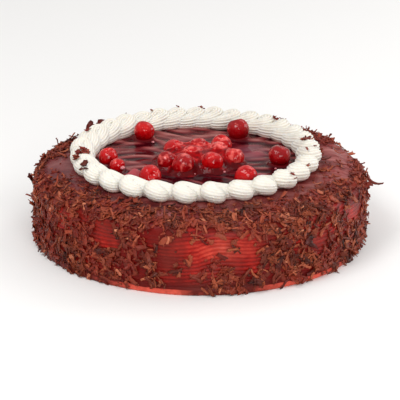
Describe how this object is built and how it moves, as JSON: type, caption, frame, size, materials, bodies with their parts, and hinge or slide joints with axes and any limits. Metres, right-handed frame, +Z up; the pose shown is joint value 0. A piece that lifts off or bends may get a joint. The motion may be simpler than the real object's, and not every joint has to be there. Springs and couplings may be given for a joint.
{
  "type": "black forest cake",
  "caption": "Round glazed cake with a combed red side and chocolate shavings, a piped ring of whipped cream on top, and glazed cherries inside the ring and heaped in the middle.",
  "frame": {"origin": "centre of the cake's flat base", "axes": "+Z up out of the cake's top, -Y towards the side that faces the viewer, +X to the viewer's right"},
  "size_m": [0.249, 0.249, 0.0716],
  "materials": {
    "glaze": "glossy",
    "cream": "satin",
    "cherry": "glossy"
  },
  "bodies": {
    "root": {"cake": "glaze", "cream_ring": "cream", "rim_cherry_1": "cherry", "rim_cherry_2": "cherry", "rim_cherry_3": "cherry", "rim_cherry_4": "cherry", "rim_cherry_5": "cherry", "rim_cherry_6": "cherry", "rim_cherry_7": "cherry", "heap_cherry_1": "cherry", "heap_cherry_2": "cherry", "heap_cherry_3": "cherry", "heap_cherry_4": "cherry", "heap_cherry_5": "cherry", "heap_cherry_6": "cherry", "heap_cherry_7": "cherry", "heap_cherry_8": "cherry", "heap_cherry_9": "cherry"}
  },
  "joints": []
}
